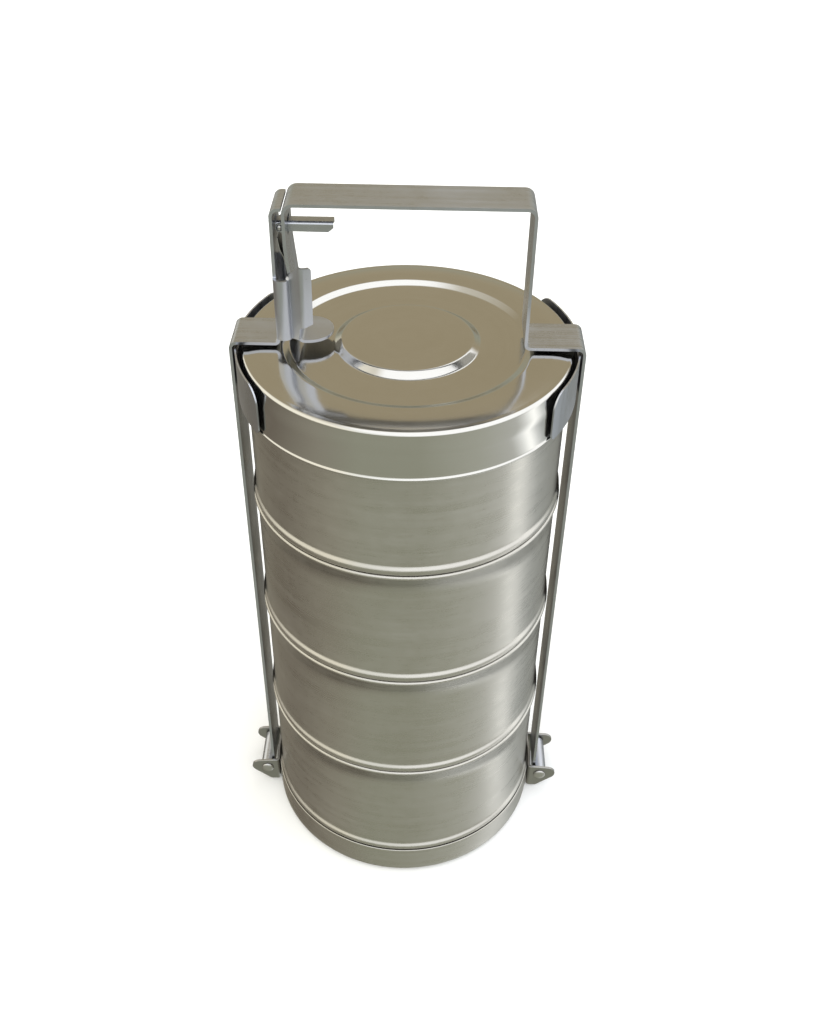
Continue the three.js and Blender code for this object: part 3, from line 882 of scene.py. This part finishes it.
bowl_steel = steel(
    "bowl_satin_steel", grey(0.465, 0.08), grey(0.425, 0.1), roughness=0.3,
    grain="round", lines=0.8, brush=3, anisotropic=0.7, tangent="Z",
)
lid_steel = steel(
    "lid_polished_steel", grey(0.52, 0.05), grey(0.48, 0.07), roughness=0.13,
    grain="round", lines=0.25, brush=2, anisotropic=0.35, tangent="Z",
)
strap_steel = steel(
    "strap_brushed_steel", grey(0.5, -0.09), grey(0.42, -0.06), roughness=0.3,
    grain="straight", lines=0.8, brush=2, anisotropic=0.25, tangent="Y",
)
bracket_steel = steel(
    "bracket_dull_steel", grey(0.37, 0.03), grey(0.28, 0.06), roughness=0.34,
    grain="straight", lines=0.6, brush=2,
)
pin_steel = steel(
    "pin_steel", grey(0.5, 0.03), grey(0.4, 0.05), roughness=0.3, grain="straight", lines=0.3, brush=2
)


# ---------- the carrier ----------

tray = turned(tray_profile())
finish_piece("tray_shell", tray, bowl_steel, "base", ["base_tray"])
for tier in range(1, BOWLS + 1):
    bowl = turned(bowl_profile(FIRST_RIM_Z + (tier - 1) * PITCH))
    finish_piece(f"bowl_{tier}_shell", bowl, bowl_steel, f"bowl_{tier}", [f"bowl_{tier}"])
finish_piece("lid_shell", turned(lid_profile()), lid_steel, "lid", ["lid"])
right_arm(strap_steel)
left_arm(strap_steel)
for word in SIDES:
    bracket(word, bracket_steel)
    hinge_pin(word, pin_steel)
    saddle(word, strap_steel)
release_lever(strap_steel)
lever_pin(pin_steel)
lever_spring(pin_steel)
spring_rivet(pin_steel)


# ---------- studio ----------


def turn(degrees):
    """The share of a full turn for an angle, with 0 degrees in the middle."""
    return (degrees + 180) / 360


TABLE = (0.24, 0.247, 0.2)
WARM_WALL = (0.277, 0.239, 0.163)
DARK_WALL = (0.14, 0.13, 0.10)

# The room above the table, by the angle over the object: 0 is in front, 90 overhead, 180 behind
ROOM_OVER = [
    (turn(-10), TABLE),
    (turn(6), (0.75, 0.77, 0.76)),
    (turn(48), (0.8, 0.82, 0.8)),
    (turn(64), (0.72, 0.71, 0.66)),
    (turn(100), (0.6, 0.58, 0.52)),
    (turn(120), (0.45, 0.43, 0.37)),
    (turn(138), WARM_WALL),
    (turn(158), WARM_WALL),
    (turn(172), TABLE),
]

# The table's height and below, by the angle round the object: 0 is in front, 90 to the right
ROOM_ROUND = [
    (turn(-180), DARK_WALL),
    (turn(-100), (0.125, 0.11, 0.09)),
    (turn(-60), (0.21, 0.2, 0.165)),
    (turn(-30), TABLE),
    (turn(10), TABLE),
    (turn(50), (0.31, 0.32, 0.28)),
    (turn(76), (0.38, 0.39, 0.37)),
    (turn(84), (0.66, 0.68, 0.68)),
    (turn(91), (1.08, 1.1, 1.1)),
    (turn(98), (0.6, 0.62, 0.63)),
    (turn(105), (0.33, 0.35, 0.35)),
    (turn(130), (0.2, 0.21, 0.2)),
    (turn(180), DARK_WALL),
]

# The ceiling lamp covers the directions past a slanting plane, above and to the right.
LAMP_TOWARDS = (0.6, -0.3, 0.75)
LAMP_EDGE = (0.42, 0.54)
LAMP = (0.95, 0.97, 1.0, 1)
# The side window covers the directions far enough to the left.
WINDOW_EDGE = (-0.45, -0.65)
WINDOW = (0.85, 0.82, 0.72, 1)
HORIZON = (-0.12, 0.12)
BACKDROP = (1, 1, 0.99, 1)


def studio_world():
    """Soft light from a pale room with a ceiling lamp and a side window, over a darker table.

    The camera sees a plain pale backdrop instead of the room.
    """
    world = bpy.data.worlds.new("studio")
    bpy.context.scene.world = world
    world.use_nodes = True
    tree = world.node_tree
    tree.nodes.clear()
    g = Graph(tree)
    direction = g.add("ShaderNodeTexCoord").outputs["Generated"]
    x, y, z = g.add("ShaderNodeSeparateXYZ", None, Vector=direction).outputs
    front = g.math("MULTIPLY", y, -1.0)
    over = g.remap(g.math("ARCTAN2", z, front), -math.pi, math.pi)
    around = g.remap(g.math("ARCTAN2", x, front), -math.pi, math.pi)
    lamp_side = g.add(
        "ShaderNodeVectorMath", {"operation": "DOT_PRODUCT"}, in0=direction, in1=LAMP_TOWARDS
    ).outputs["Value"]
    upper = g.blend(g.remap(lamp_side, *LAMP_EDGE), g.ramp(over, ROOM_OVER), LAMP)
    upper = g.blend(g.remap(x, *WINDOW_EDGE), upper, WINDOW)
    room = g.blend(g.remap(z, *HORIZON), g.ramp(around, ROOM_ROUND), upper)
    background = g.add("ShaderNodeBackground", None, Color=room, Strength=2.0)
    backdrop = g.add("ShaderNodeBackground", None, Color=BACKDROP, Strength=1.0)
    seen = g.add("ShaderNodeLightPath").outputs["Is Camera Ray"]
    either = g.add(
        "ShaderNodeMixShader", None, in0=seen, in1=background.outputs[0], in2=backdrop.outputs[0]
    )
    output = g.add("ShaderNodeOutputWorld")
    g.put(output, "Surface", either.outputs[0])


def plain_material(name, colour, roughness):
    material = bpy.data.materials.new(name)
    material.use_nodes = True
    shader = material.node_tree.nodes["Principled BSDF"]
    shader.inputs["Base Color"].default_value = (*colour, 1)
    shader.inputs["Roughness"].default_value = roughness
    return material


def studio_floor():
    """A pale floor. Reflections in the steel show the studio's own darker table instead."""
    bm = bmesh.new()
    bmesh.ops.create_circle(bm, cap_ends=True, segments=96, radius=12)
    mesh = bpy.data.meshes.new("floor")
    bm.to_mesh(mesh)
    bm.free()
    floor = bpy.data.objects.new("floor", mesh)
    bpy.context.scene.collection.objects.link(floor)
    mesh.materials.append(plain_material("floor_pale", (0.86, 0.86, 0.85), 0.9))
    floor.visible_glossy = False


CAMERA_AT = (0.0101, -0.4758, 0.6022)
CAMERA_TOWARDS = (-0.01358, 0.77808, -0.628)
CAMERA_ROLL = 0.68
LENS = 39.08
SENSOR = 36


def studio_camera():
    """The camera looks down at the lid from the front, turned and rolled by about a degree."""
    forward = Vector(CAMERA_TOWARDS).normalized()
    right = forward.cross(Vector((0, 0, 1))).normalized()
    up = right.cross(forward)
    roll = math.radians(CAMERA_ROLL)
    x_axis = right * math.cos(roll) + up * math.sin(roll)
    y_axis = up * math.cos(roll) - right * math.sin(roll)
    data = bpy.data.cameras.new("camera")
    data.lens = LENS
    data.sensor_width = SENSOR
    data.clip_start = 0.01
    camera = bpy.data.objects.new("camera", data)
    bpy.context.scene.collection.objects.link(camera)
    facing = Matrix((x_axis, y_axis, -forward)).transposed().to_4x4()
    camera.matrix_world = Matrix.Translation(CAMERA_AT) @ facing
    bpy.context.scene.camera = camera


studio_world()
studio_floor()
studio_camera()
bpy.context.scene.view_settings.view_transform = "Standard"
